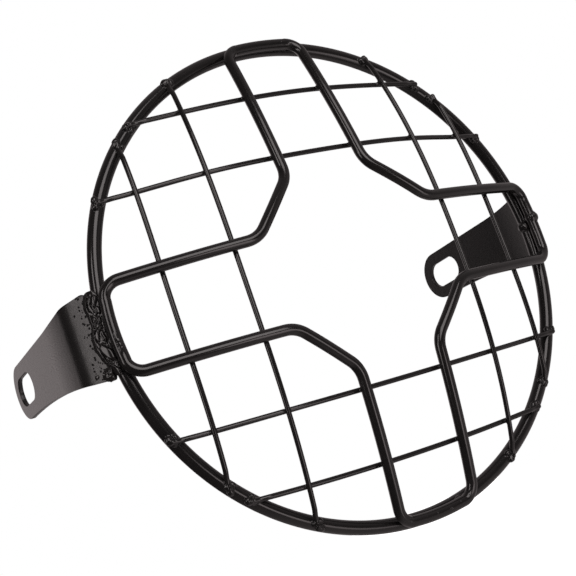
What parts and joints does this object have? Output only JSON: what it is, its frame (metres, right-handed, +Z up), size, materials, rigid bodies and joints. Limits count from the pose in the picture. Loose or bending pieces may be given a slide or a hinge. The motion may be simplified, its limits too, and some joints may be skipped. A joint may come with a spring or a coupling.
{
  "type": "motorcycle headlight guard",
  "caption": "Round wire guard for a motorcycle headlight, with a cross-shaped bar loop, bowed wires and two slotted side brackets.",
  "frame": {"origin": "centre of the round bar ring, in the plane of its centre line", "axes": "+Z up, +X to the right seen from in front of the guard, the domed wires face -Y (forwards) and the brackets run back along +Y"},
  "size_m": [0.2244, 0.1178, 0.2056],
  "materials": {
    "bar_coat": "gloss black powder coat on round steel bar",
    "wire_coat": "gloss black powder coat on thin steel wire",
    "sheet_coat": "gloss black powder coat on steel sheet",
    "weld_coat": "gloss black powder coat over rough weld metal"
  },
  "bodies": {
    "root": {"outer_ring": "bar_coat", "cross_loop": "bar_coat", "upright_wire_left_outer": "wire_coat", "upright_wire_left_inner": "wire_coat", "upright_wire_right_inner": "wire_coat", "upright_wire_right_outer": "wire_coat", "level_wire_top_outer": "wire_coat", "level_wire_top_inner": "wire_coat", "level_wire_bottom_inner": "wire_coat", "level_wire_bottom_outer": "wire_coat", "left_bracket": "sheet_coat", "right_bracket": "sheet_coat", "weld_left_bracket": "weld_coat", "weld_right_bracket": "weld_coat", "weld_upright_wire_left_outer_bottom": "weld_coat", "weld_upright_wire_left_outer_top": "weld_coat", "weld_upright_wire_left_inner_bottom": "weld_coat", "weld_upright_wire_left_inner_top": "weld_coat", "weld_upright_wire_right_inner_bottom": "weld_coat", "weld_upright_wire_right_inner_top": "weld_coat", "weld_upright_wire_right_outer_bottom": "weld_coat", "weld_upright_wire_right_outer_top": "weld_coat", "weld_level_wire_top_outer_left": "weld_coat", "weld_level_wire_top_outer_right": "weld_coat", "weld_level_wire_top_inner_left": "weld_coat", "weld_level_wire_top_inner_right": "weld_coat", "weld_level_wire_bottom_inner_left": "weld_coat", "weld_level_wire_bottom_inner_right": "weld_coat", "weld_level_wire_bottom_outer_left": "weld_coat", "weld_level_wire_bottom_outer_right": "weld_coat", "weld_loop_top_left": "weld_coat", "weld_loop_top_right": "weld_coat", "weld_loop_bottom_left": "weld_coat", "weld_loop_bottom_right": "weld_coat", "weld_ring_joint": "weld_coat", "weld_loop_joint": "weld_coat"}
  },
  "joints": []
}
